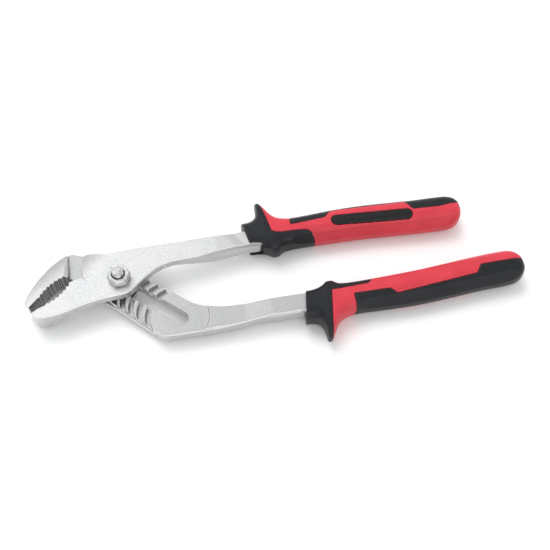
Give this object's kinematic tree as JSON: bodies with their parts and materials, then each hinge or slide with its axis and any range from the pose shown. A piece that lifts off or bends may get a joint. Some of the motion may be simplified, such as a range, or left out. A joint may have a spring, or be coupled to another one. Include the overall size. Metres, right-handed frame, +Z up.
{
  "type": "tongue and groove pliers",
  "caption": "Tongue and groove pliers with serrated offset jaws, a sliding pivot bolt in a slotted plate with curved grooves, and two-colour moulded handle sleeves.",
  "frame": {"origin": "bottom centre of the bounding box, on the surface that the closed tool lies on", "axes": "+X along the tool from the jaws to the handles, +Y across it towards the handle of the tongue half, +Z up, out of the face that shows the nut"},
  "size_m": [0.2986, 0.0992, 0.0273],
  "materials": {
    "satin_chrome_steel": "pearl chrome plate over a blasted forging, fine speckle",
    "bright_zinc_steel": "bright zinc plate, machined",
    "red_plastic": "moulded, fine grain, satin",
    "black_rubber": "soft-touch elastomer, satin",
    "badge_plastic": "smooth, half gloss, no lettering"
  },
  "bodies": {
    "grooved_handle": {"grooved_half": "satin_chrome_steel", "lower_grip_core": "red_plastic", "lower_guard_collar": "black_rubber", "lower_outer_panel": "black_rubber", "lower_badge": "badge_plastic"},
    "pivot": {"pivot_bolt": "bright_zinc_steel", "pivot_nut": "bright_zinc_steel"},
    "tongue_handle": {"tongue_half": "satin_chrome_steel", "upper_grip_core": "red_plastic", "upper_guard_collar": "black_rubber", "upper_outer_panel": "black_rubber", "upper_badge": "badge_plastic"}
  },
  "joints": [
    {"name": "slot_slide", "type": "slide", "parent": "grooved_handle", "child": "pivot", "axis": [0.749, -0.6626, 0], "range_m": [0, 0.0366]},
    {"name": "pivot_hinge", "type": "hinge", "parent": "pivot", "child": "tongue_handle", "pos_m": [-0.09241, 0.00812, 0.0115], "axis": [0, 0, 1], "range_deg": [0, 62]}
  ]
}
